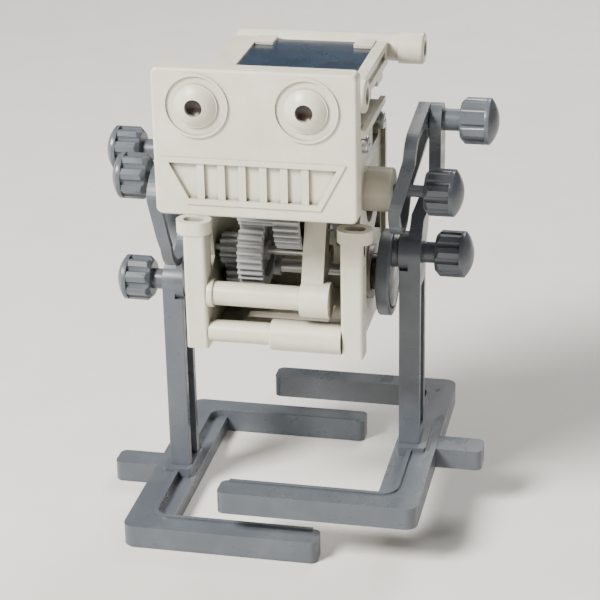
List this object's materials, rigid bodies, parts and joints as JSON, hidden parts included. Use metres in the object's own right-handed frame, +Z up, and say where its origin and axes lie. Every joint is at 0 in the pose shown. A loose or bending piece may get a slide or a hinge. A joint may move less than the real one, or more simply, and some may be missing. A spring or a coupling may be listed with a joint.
{
  "type": "walking toy robot",
  "caption": "Toy walking robot with a face plate, solar panel on top, open gearbox and two U-shaped feet driven by side cranks.",
  "frame": {"origin": "centre of the bounding box on the ground plane, at the sole of the standing foot", "axes": "+X to the viewer's right when facing the face, +Y to the back, +Z up"},
  "size_m": [0.0878, 0.067, 0.1103],
  "materials": {
    "white_plastic": "satin moulded, warm off-white",
    "grey_plastic": "satin moulded, blue-grey",
    "gear_plastic": "moulded, light grey",
    "dark_plastic": "dark brown",
    "steel": "bright",
    "brass": "plain",
    "cell": "deep blue under a clear coat"
  },
  "bodies": {
    "chassis": {"left_side_frame": "white_plastic", "right_side_frame": "white_plastic", "top_deck": "white_plastic", "rear_cover": "white_plastic", "base_plate": "white_plastic", "upper_crossbar": "white_plastic", "lower_crossbar": "white_plastic", "gear_arm": "white_plastic", "motor_can": "steel", "motor_end_cap": "dark_plastic", "motor_terminals": "brass", "motor_bracket": "gear_plastic", "lower_idler_pin": "steel", "upper_idler_pin": "steel", "left_axle_bush": "dark_plastic", "right_axle_bush": "dark_plastic", "body_screws": "steel", "head_shell": "white_plastic", "left_eye": "white_plastic", "right_eye": "white_plastic", "left_pupil": "dark_plastic", "right_pupil": "dark_plastic", "left_head_arm": "white_plastic", "right_head_arm": "white_plastic", "panel_left_rail": "white_plastic", "panel_right_rail": "white_plastic", "panel_front_tube": "white_plastic", "panel_rear_tube": "white_plastic", "panel_clips": "white_plastic", "solar_cell": "cell", "cell_backing": "dark_plastic", "panel_terminals": "brass", "left_guide_knob": "grey_plastic", "right_guide_knob": "grey_plastic"},
    "axle_set": {"drive_axle": "steel", "axle_gear": "gear_plastic", "left_crank": "grey_plastic", "right_crank": "grey_plastic", "left_crank_knob": "grey_plastic", "right_crank_knob": "grey_plastic"},
    "second_gear": {"second_stage_gear": "gear_plastic"},
    "first_gear": {"first_stage_gear": "gear_plastic"},
    "rotor": {"motor_shaft": "steel", "motor_pinion": "gear_plastic"},
    "left_walking_leg": {"left_leg": "grey_plastic", "left_foot": "grey_plastic", "left_link": "grey_plastic", "left_link_knob": "grey_plastic"},
    "right_walking_leg": {"right_leg": "grey_plastic", "right_foot": "grey_plastic", "right_link": "grey_plastic", "right_link_knob": "grey_plastic"}
  },
  "joints": [
    {"name": "axle_spin", "type": "hinge", "parent": "chassis", "child": "axle_set", "pos_m": [0, 0.00153, 0.056], "axis": [1, 0, 0], "continuous": true},
    {"name": "second_gear_spin", "type": "hinge", "parent": "chassis", "child": "second_gear", "pos_m": [0, -0.00656, 0.06279], "axis": [1, 0, 0], "continuous": true},
    {"name": "first_gear_spin", "type": "hinge", "parent": "chassis", "child": "first_gear", "pos_m": [0, -0.00929, 0.07299], "axis": [1, 0, 0], "continuous": true},
    {"name": "motor_spin", "type": "hinge", "parent": "chassis", "child": "rotor", "pos_m": [0, 0.00127, 0.07299], "axis": [1, 0, 0], "continuous": true},
    {"name": "right_leg_hinge", "type": "hinge", "parent": "axle_set", "child": "right_walking_leg", "pos_m": [0.027, 0.00153, 0.0612], "axis": [1, 0, 0], "continuous": true},
    {"name": "left_leg_hinge", "type": "hinge", "parent": "axle_set", "child": "left_walking_leg", "pos_m": [-0.027, 0.00153, 0.0508], "axis": [1, 0, 0], "continuous": true}
  ],
  "couplings": [
    {"joint": "second_gear_spin", "follows": "axle_spin", "ratio": -2.5},
    {"joint": "first_gear_spin", "follows": "axle_spin", "ratio": 6.25},
    {"joint": "motor_spin", "follows": "axle_spin", "ratio": -15.625},
    {"joint": "right_leg_hinge", "follows": "axle_spin", "ratio": -1},
    {"joint": "left_leg_hinge", "follows": "axle_spin", "ratio": -1}
  ]
}
